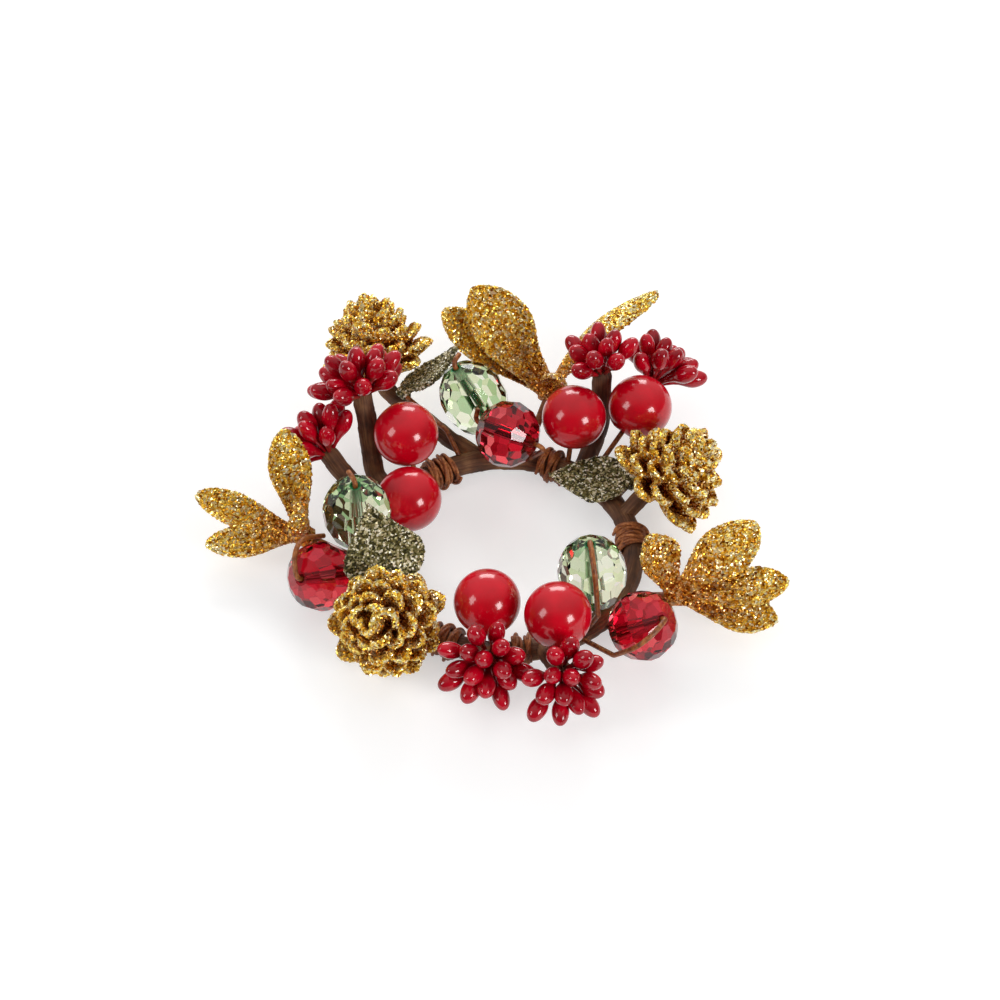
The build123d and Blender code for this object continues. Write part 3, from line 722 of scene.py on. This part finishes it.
draw = random.Random(23)
for tag, bunch in BUNCHES.items():
    dome = spot(*bunch["dome"])
    aim = heading(*bunch["aim"])
    spread, count = bunch["fan"]
    across = (Vector((0, 0, 1)) - aim * aim.z).normalized()
    points, faces = [], []
    for i in range(count):
        lean = acos(1 - (i + FIRST_LEAN) / count * (1 - cos(radians(spread))))
        ring = Matrix.Rotation(i * GOLDEN_ANGLE, 3, aim) @ across
        way = aim * cos(lean) + ring * sin(lean)
        length = BUD_LENGTH + BUD_STAGGER * (0, -1, 1)[i % 3]
        length += draw.uniform(-BUD_LENGTH_DRAW, BUD_LENGTH_DRAW)
        girth = BUD_RADIUS * draw.uniform(*BUD_GIRTH_DRAW)
        neck = length - BUD_DROP
        profile = [(BUD_ROOT, BUD_THREAD), (neck - THREAD_FLARE, THREAD_END)]
        for share in range(DROP_RINGS + 1):
            t = share / DROP_RINGS
            swell = ((1 - cos(pi * t)) / 2) ** DROP_FULLNESS
            profile.append((neck + (BUD_DROP - BUD_TIP) * t, BUD_NECK + (girth - BUD_NECK) * swell))
        for share in range(1, TIP_RINGS):
            t = share / TIP_RINGS * pi / 2
            profile.append((length - BUD_TIP + BUD_TIP * sin(t), girth * cos(t) ** TIP_FULLNESS))
        side = way.orthogonal().normalized()
        other = way.cross(side)
        sway = (side * draw.uniform(-1, 1) + other * draw.uniform(-1, 1)) * BUD_SWAY
        first = len(points)
        for reach, thick in profile:
            middle = dome + way * reach + sway * (reach / length) ** 2
            for j in range(BUD_SIDES):
                angle = 2 * pi * j / BUD_SIDES
                points.append(middle + (side * cos(angle) + other * sin(angle)) * thick)
        rings = len(profile)
        tip = len(points)
        points.append(dome + way * length + sway)
        for j in range(BUD_SIDES):
            k = (j + 1) % BUD_SIDES
            for r in range(rings - 1):
                a, b = first + r * BUD_SIDES, first + (r + 1) * BUD_SIDES
                faces.append((a + j, a + k, b + k, b + j))
            faces.append((first + (rings - 1) * BUD_SIDES + j, first + (rings - 1) * BUD_SIDES + k, tip))
        faces.append(tuple(first + j for j in reversed(range(BUD_SIDES))))
    buds = new_piece(f"bud_bunch_{tag}", points, faces, "ring")
    buds.data.materials.append(bud_gloss)
    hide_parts(f"pips_{tag}")


# Cones. Curved card scales set round a stub, brushed with glue and rolled in coarse gold glitter until no
# card shows. Every flake lies at its own tilt, so some flash and some stay dark, and painted glints and
# painted shade in the flake colours add to this.
CONE_SCALES = 45
CONE_FOOT = 1.6
CONE_CORE = 5.0
SCALE_LENGTHS = (12.5, 11.4)
SCALE_WIDTHS = (6.0, 4.6)
SCALE_SKIN = 1.3
SCALE_ROOT = 0.5
# The sine of the lowest scale's climb, and how much it gains up the cone
SCALE_CLIMB = (0.03, 0.98)
SCALE_LENGTH_DRAW = (0.86, 1.04)
SCALE_WIDTH_DRAW = (0.9, 1.1)
SCALE_FORM = {"sag": 0.09, "cup": 0.35, "widest": 0.74, "neck": 0.45}
BLADE_ROWS = 24
BLADE_LANES = 8
CONE_HEART = 10.0
# Real flakes are about 0.3 mm. Their colours are drawn coarser than the facets, so that each one shows.
FLAKE = 0.36
FLAKE_SHOWN = 0.5
FLAKE_LEAN = 1.2
FLAKE_TILT = 0.12
GLUE_BUILD = 0.05
TOSS = 2.1
TOSS_CELL = 0.03
PRESS = 2.0
SEED_SHIFT = 3.7
TABLE_CLEAR = 0.05
WARP = 0.5
WARP_SIZE = 9.0
# Rays feel round each flake for walls near it, and the more they find the darker the painted shade laid on it
HOLLOW_REACH = 6.0
FEELER_START = 0.3
FEELER_LEAN = 0.85
FEELERS = [Vector(way) * FEELER_LEAN for way in (
    (1, 0, 0), (-1, 0, 0), (0, 1, 0), (0, -1, 0), (0, 0, 1), (0, 0, -1),
)]
CREVICE_SHADE_SHARE = 0.9
HEART_SHADE_SHARE = 0.9
# Flake colours vary at random, and the darkest and palest steps are also painted shade and painted glints
GOLD_TONES_AND_GLINTS = (
    (0.0, "#A65E04"), (0.18, "#DC9A18"), (0.4, "#FFCC3C"), (0.66, "#FFE680"), (0.86, "#FFF6CC"),
)
# Painted shade: the amber that flakes in crevices and near the heart are multiplied toward
GOLD_PAINTED_SHADE = "#C88444"


def add_blade(points, faces, root, way, hollow, size, form):
    """Adds one thick cupped blade, narrow at its root and round at its end, hollow on the side given."""
    length, width, thick = size
    up = (hollow - way * hollow.dot(way)).normalized()
    across = way.cross(up)
    lanes = [-1 + 2 * k / BLADE_LANES for k in range(BLADE_LANES + 1)]
    edge = [(x, 0.5) for x in lanes] + [(x, -0.5) for x in reversed(lanes)]
    first = len(points)
    for i in range(BLADE_ROWS + 1):
        s = i / BLADE_ROWS
        slope = 4 * form["sag"] * (2 * s - 1)
        lift = (up - way * slope).normalized()
        spine = root + way * length * s - up * 4 * form["sag"] * length * s * (1 - s)
        if s < form["widest"]:
            t = s / form["widest"]
            share = form["neck"] + (1 - form["neck"]) * t * t * (3 - 2 * t)
        else:
            share = sqrt(max(0.03, 1 - ((s - form["widest"]) / (1 - form["widest"])) ** 2))
        half = width / 2 * share
        for x, layer in edge:
            points.append(spine + across * half * x + lift * (form["cup"] * half * x * x + thick * layer))
    ring = len(edge)
    for i in range(BLADE_ROWS):
        a, b = first + i * ring, first + (i + 1) * ring
        for k in range(ring):
            n = (k + 1) % ring
            faces.append((a + k, b + k, b + n, a + n))
    faces.append(tuple(range(first, first + ring)))
    faces.append(tuple(reversed(range(first + BLADE_ROWS * ring, first + (BLADE_ROWS + 1) * ring))))


def flaked(coated, flake, tilt, seed, heart=None, span=0.0):
    """Remeshes a piece into flake-sized facets, each knocked a little out of true, and, given a heart, notes
    painted shade for its hollows and for the parts near its heart.
    """
    weld = bmesh.new()
    weld.from_mesh(coated.data)
    bmesh.ops.remove_doubles(weld, verts=weld.verts[:], dist=1e-6)
    bmesh.ops.recalc_face_normals(weld, faces=weld.faces[:])
    weld.to_mesh(coated.data)
    weld.free()
    grit = coated.modifiers.new("grit", "REMESH")
    grit.mode = "VOXEL"
    grit.voxel_size = flake * MM
    bpy.context.view_layer.update()
    shell = bpy.data.meshes.new_from_object(coated.evaluated_get(bpy.context.evaluated_depsgraph_get()))
    coated.modifiers.clear()
    coated.data = shell
    noise.seed_set(seed)
    shift = Vector((seed * SEED_SHIFT, 0, 0))
    faced = [point.normal.copy() for point in shell.vertices]
    if heart:
        places = [point.co.copy() for point in shell.vertices]
        walls = BVHTree.FromPolygons(places, [face.vertices[:] for face in shell.polygons])
        painted_shades = []
        for place, outward in zip(places, faced):
            closed_in = 0.0
            for feeler in FEELERS:
                start = place + outward * FEELER_START * MM
                far = walls.ray_cast(start, outward + feeler, HOLLOW_REACH * MM)[3]
                closed_in += 0 if far is None else 1 - far / (HOLLOW_REACH * MM)
            # Painted shade also grows toward the heart, where the roots lie
            inner = max(0.0, 1 - (place / MM - heart).length / span)
            painted_shades.append(min(1.0, CREVICE_SHADE_SHARE * closed_in / len(FEELERS) + HEART_SHADE_SHARE * inner))
        shell.attributes.new("hollow", "FLOAT", "POINT").data.foreach_set("value", painted_shades)
    for point, outward in zip(shell.vertices, faced):
        warp = noise.noise_vector(point.co / (WARP_SIZE * MM) + shift) * WARP
        cell = point.co / (TOSS_CELL * MM)
        toss = (noise.cell_vector(cell + shift) - Vector((0.5, 0.5, 0.5))) * TOSS * tilt
        press = (noise.cell_vector(cell - shift).z - 0.5) * PRESS * tilt
        point.co += (warp + toss + outward * (GLUE_BUILD + press)) * MM
        point.co.z = max(point.co.z, TABLE_CLEAR * MM)
    shell.polygons.foreach_set("use_smooth", [False] * len(shell.polygons))
    shell.materials.clear()
    shell.update()


# Metallised polyester glitter in clear glue: each flake is a small gold mirror of its own tilt, with a colour
# that varies at random. The darkest and palest colours also stand in for flakes turned away from and toward
# the lamps: painted shade and painted glints.
# Flakes deep between the scales and near the heart get painted shade: their colour is multiplied toward
# amber, standing in for shadow and warm bounce light.
gold_glitter, tree = new_finish("gold_glitter_flake")
flake_place = add_node(tree, "ShaderNodeTexCoord")
flakes = add_node(tree, "ShaderNodeTexVoronoi", {
    "Vector": flake_place.outputs["Object"], "Scale": 1 / (FLAKE_SHOWN * MM),
})
flake_parts = add_node(tree, "ShaderNodeSeparateColor", {"Color": flakes.outputs["Color"]})
gold_tone_and_glint = add_node(tree, "ShaderNodeValToRGB", {"Fac": flake_parts.outputs["Red"]})
colour_steps(gold_tone_and_glint, GOLD_TONES_AND_GLINTS)
flake_lean = add_node(tree, "ShaderNodeVectorMath", {
    0: flakes.outputs["Color"], 1: (0.5, 0.5, 0.5),
}, operation="SUBTRACT")
lean_size = add_node(tree, "ShaderNodeVectorMath", {
    0: flake_lean.outputs["Vector"], "Scale": FLAKE_LEAN,
}, operation="SCALE")
true_face = add_node(tree, "ShaderNodeNewGeometry")
tilted = add_node(tree, "ShaderNodeVectorMath", {
    0: true_face.outputs["Normal"], 1: lean_size.outputs["Vector"],
}, operation="ADD")
flake_face = add_node(tree, "ShaderNodeVectorMath", {0: tilted.outputs["Vector"]}, operation="NORMALIZE")
# Painted shade: how far each flake is darkened toward amber for crevices and the heart
hollow = add_node(tree, "ShaderNodeAttribute", attribute_name="hollow")
gold_painted_shade = add_node(tree, "ShaderNodeMix", {
    0: hollow.outputs["Fac"], 6: gold_tone_and_glint.outputs["Color"], 7: linear(GOLD_PAINTED_SHADE),
}, data_type="RGBA", blend_type="MULTIPLY")
gold_surface = add_node(tree, "ShaderNodeBsdfPrincipled", {
    "Base Color": gold_painted_shade.outputs[2], "Metallic": 0.7, "Roughness": 0.2,
    "Normal": flake_face.outputs["Vector"],
})
add_node(tree, "ShaderNodeOutputMaterial", {"Surface": gold_surface.outputs["BSDF"]})

for seed, (spray, stem) in enumerate(CONE_STEMS.items(), start=31):
    base = spot(*stem["base"])
    axis = heading(*stem["axis"])
    side = axis.orthogonal().normalized()
    draw = random.Random(seed)
    points, faces = [], []
    for i in range(CONE_SCALES):
        t = (i + 0.5) / CONE_SCALES
        climb = asin(min(1.0, SCALE_CLIMB[0] + SCALE_CLIMB[1] * t))
        ring = Matrix.Rotation(i * GOLDEN_ANGLE, 3, axis) @ side
        way = ring * cos(climb) + axis * sin(climb)
        inward = axis * cos(climb) - ring * sin(climb)
        length = (SCALE_LENGTHS[0] * (1 - t) + SCALE_LENGTHS[1] * t) * draw.uniform(*SCALE_LENGTH_DRAW)
        width = (SCALE_WIDTHS[0] * (1 - t) + SCALE_WIDTHS[1] * t) * draw.uniform(*SCALE_WIDTH_DRAW)
        root = base + axis * (CONE_FOOT + CONE_CORE * t) + way * SCALE_ROOT
        add_blade(points, faces, root, way, inward, (length, width, SCALE_SKIN), SCALE_FORM)
    cone = new_piece(f"glitter_cone_{spray}", points, faces, "ring")
    flaked(cone, FLAKE, FLAKE_TILT, seed, base + axis * CONE_CORE, CONE_HEART)
    cone.data.materials.append(gold_glitter)
    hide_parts(f"cone_{spray}")


# Flowers. Cupped foam petals on a small calyx, glued to the end of a covered wire and rolled in the same
# gold glitter, which rounds their rims.
PETAL_SKIN = 1.0
PETAL_FORM = {"sag": 0.13, "cup": 0.6, "widest": 0.64, "neck": 0.34}
PETAL_HEART = 17.0
CALYX_RADIUS = 2.2
CALYX_SIDES = 24
CALYX_STEPS = (-1.8, -0.6, 0.6, 1.8)
FLOWERS = {
    "a": {"knee": (-177, 6.0, 1.2), "base": (-178.9, 15.5, 6.8), "petals": (
        {"size": (23, 9), "way": (103, 36), "hollow": (-80, 40)},
        {"size": (26, 7.5), "way": (154, 1), "hollow": (-90, 72)},
        {"size": (21, 7), "way": (180, -8), "hollow": (-70, 60)},
        {"size": (11, 7.5), "way": (-110, 76), "hollow": (170, 20)},
    )},
    "b": {"knee": (80, 6.0, 0.4), "base": (76.6, 15.0, 6.4), "petals": (
        {"size": (30, 10), "way": (148, 22), "hollow": (-100, 40)},
        {"size": (29, 13.5), "way": (135, 35), "hollow": (-80, 44)},
        {"size": (33, 8), "way": (38, 23), "hollow": (-30, -55)},
        {"size": (11, 6.5), "way": (-66, 64), "hollow": (-110, 10)},
    )},
    "c": {"knee": (-29.5, 5.0, 4.4), "base": (-26.6, 12.2, 6.8), "petals": (
        {"size": (23, 11), "way": (31, 30), "hollow": (-50, 50)},
        {"size": (24, 9), "way": (5, 5), "hollow": (-80, 70)},
        {"size": (22, 8.5), "way": (-12, -6), "hollow": (-80, 60)},
        {"size": (15, 9.5), "way": (134, 58), "hollow": (-60, 24)},
    )},
}
for seed, (spray, bloom) in enumerate(FLOWERS.items(), start=41):
    base = spot(*bloom["base"])
    axis = (base - spot(*bloom["knee"])).normalized()
    points, faces = [], []
    calyx = [base + axis * along for along in CALYX_STEPS]
    add_strand(points, faces, calyx, CALYX_RADIUS, CALYX_SIDES)
    for petal in bloom["petals"]:
        size = (*petal["size"], PETAL_SKIN)
        add_blade(points, faces, base, heading(*petal["way"]), heading(*petal["hollow"]), size, PETAL_FORM)
    flower = new_piece(f"glitter_flower_{spray}", points, faces, "ring")
    flaked(flower, FLAKE, FLAKE_TILT, seed, base, PETAL_HEART)
    flower.data.materials.append(gold_glitter)
    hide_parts(f"flower_{spray}")


# Leaves. Dull green felted card, stiffened and folded at the midrib, glued over its wire and sugared with
# fine silver glitter. The real flakes are finer than these, which are drawn coarser so that they show.
LEAF_FLAKE = 0.42
LEAF_TILT = 0.14
FROST_STEPS = (
    (0.0, "#282408"), (0.35, "#4E4A1C"), (0.6, "#847C4A"), (0.8, "#CABF92"), (0.93, "#FCF8E4"),
)

# Silver-white flakes over an olive ground: mostly dull, with hard bright points
frosted_leaf, tree = new_finish("silver_frosted_leaf")
frost_place = add_node(tree, "ShaderNodeTexCoord")
frost = add_node(tree, "ShaderNodeTexVoronoi", {
    "Vector": frost_place.outputs["Object"], "Scale": 1 / (LEAF_FLAKE * MM),
})
frost_parts = add_node(tree, "ShaderNodeSeparateColor", {"Color": frost.outputs["Color"]})
frost_colour = add_node(tree, "ShaderNodeValToRGB", {"Fac": frost_parts.outputs["Red"]})
colour_steps(frost_colour, FROST_STEPS)
frost_surface = add_node(tree, "ShaderNodeBsdfPrincipled", {
    "Base Color": frost_colour.outputs["Color"], "Metallic": 0.35, "Roughness": 0.4,
})
add_node(tree, "ShaderNodeOutputMaterial", {"Surface": frost_surface.outputs["BSDF"]})
for seed, spray in enumerate("abc", start=51):
    leaf = bpy.data.objects.new(f"frosted_leaf_{spray}", nodes[f"leaf_{spray}"].data.copy())
    bpy.context.scene.collection.objects.link(leaf)
    flaked(leaf, LEAF_FLAKE, LEAF_TILT, seed)
    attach(leaf, "ring")
    leaf.data.materials.append(frosted_leaf)
    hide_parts(f"leaf_{spray}")


# The studio. A pale table that keeps the ring's shadow, a surround that is brighter above and behind, and
# soft boxes at the right front, the left and behind.
TABLE_HALF = 3.0
TABLE_CORNERS = ((-1, -1), (1, -1), (1, 1), (-1, 1))
TABLE_WHITE = "#CCCCCC"
TABLE_GLOW = 0.52
table_mesh = bpy.data.meshes.new("table")
table_mesh.from_pydata(
    [(x * TABLE_HALF, y * TABLE_HALF, 0) for x, y in TABLE_CORNERS], [], [(0, 1, 2, 3)],
)
table = bpy.data.objects.new("table", table_mesh)
bpy.context.scene.collection.objects.link(table)
table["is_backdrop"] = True

# Matte white paper. Seen straight, in a gloss or through a bead, it glows a little, so that it looks white.
table_paper, tree = new_finish("white_table_paper")
seen = add_node(tree, "ShaderNodeLightPath")
seen_clear = add_node(tree, "ShaderNodeMath", {
    0: seen.outputs["Is Glossy Ray"], 1: seen.outputs["Is Transmission Ray"],
}, operation="MAXIMUM")
seen_plain = add_node(tree, "ShaderNodeMath", {
    0: seen_clear.outputs["Value"], 1: seen.outputs["Is Camera Ray"],
}, operation="MAXIMUM")
paper_glow = add_node(tree, "ShaderNodeEmission", {"Color": linear("#FFFFFF"), "Strength": TABLE_GLOW})
paper_matte = add_node(tree, "ShaderNodeBsdfDiffuse", {"Color": linear(TABLE_WHITE)})
paper_lit = add_node(tree, "ShaderNodeAddShader", {
    0: paper_matte.outputs["BSDF"], 1: paper_glow.outputs["Emission"],
})
table_mix = add_node(tree, "ShaderNodeMixShader", {
    "Fac": seen_plain.outputs["Value"], 1: paper_matte.outputs["BSDF"], 2: paper_lit.outputs["Shader"],
})
add_node(tree, "ShaderNodeOutputMaterial", {"Surface": table_mix.outputs["Shader"]})
table_mesh.materials.append(table_paper)

# The surround is brightest above and behind the ring and dim toward the camera
BRIGHT_WAY = (0.0, 0.55, 0.835)
SURROUND_DIM = 0.1
SURROUND_BRIGHT = 0.7
world = bpy.data.worlds.new("studio")
bpy.context.scene.world = world
world.use_nodes = True
tree = world.node_tree
tree.nodes.clear()
sky_way = add_node(tree, "ShaderNodeTexCoord")
toward_bright = add_node(tree, "ShaderNodeVectorMath", {
    0: sky_way.outputs["Generated"], 1: BRIGHT_WAY,
}, operation="DOT_PRODUCT")
brightness = add_node(tree, "ShaderNodeMapRange", {
    "Value": toward_bright.outputs["Value"], "From Min": 0.0, "From Max": 1.0,
    "To Min": SURROUND_DIM, "To Max": SURROUND_BRIGHT,
}, interpolation_type="SMOOTHSTEP")
surround = add_node(tree, "ShaderNodeBackground", {
    "Color": linear("#FFFFFF"), "Strength": brightness.outputs["Result"],
})
add_node(tree, "ShaderNodeOutputWorld", {"Surface": surround.outputs["Background"]})

# Each soft box: the way from the ring to it, its distance in metres, its two sides and its power in watts
SOFT_BOXES = {
    "right_box": ((0.65, -0.63, 0.42), 0.9, (0.3, 0.3), 4.0),
    "left_box": ((-0.79, -0.33, 0.53), 0.9, (0.3, 0.4), 2.2),
    "back_box": ((0.0, 0.9, 0.5), 0.9, (0.5, 0.3), 3.6),
}
for name, (way, distance, sides, power) in SOFT_BOXES.items():
    lamp = bpy.data.lights.new(name, "AREA")
    lamp.shape = "RECTANGLE"
    lamp.size, lamp.size_y = sides
    lamp.energy = power
    box = bpy.data.objects.new(name, lamp)
    bpy.context.scene.collection.objects.link(box)
    toward = Vector(way).normalized()
    box.location = toward * distance
    box.rotation_mode = "QUATERNION"
    box.rotation_quaternion = toward.to_track_quat("Z", "Y")

# The camera looks down on the ring at 48 degrees from the front, through a long lens
CAMERA_AIM = Vector((-1.0724, 8.448, 10.807)) * MM
CAMERA_DISTANCE = 0.675
CAMERA_TILT = radians(48)
SENSOR_WIDTH = 36.0
FOCAL_LENGTH = 113.3
lens = bpy.data.cameras.new("photo_camera")
lens.sensor_width = SENSOR_WIDTH
lens.lens = FOCAL_LENGTH
lens.clip_start = 0.01
lens.clip_end = 20.0
camera = bpy.data.objects.new("photo_camera", lens)
bpy.context.scene.collection.objects.link(camera)
back = Vector((0, -cos(CAMERA_TILT), sin(CAMERA_TILT)))
camera.location = CAMERA_AIM + back * CAMERA_DISTANCE
camera.rotation_mode = "QUATERNION"
camera.rotation_quaternion = back.to_track_quat("Z", "Y")
bpy.context.scene.camera = camera
bpy.context.scene.view_settings.view_transform = "Standard"

low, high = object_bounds()
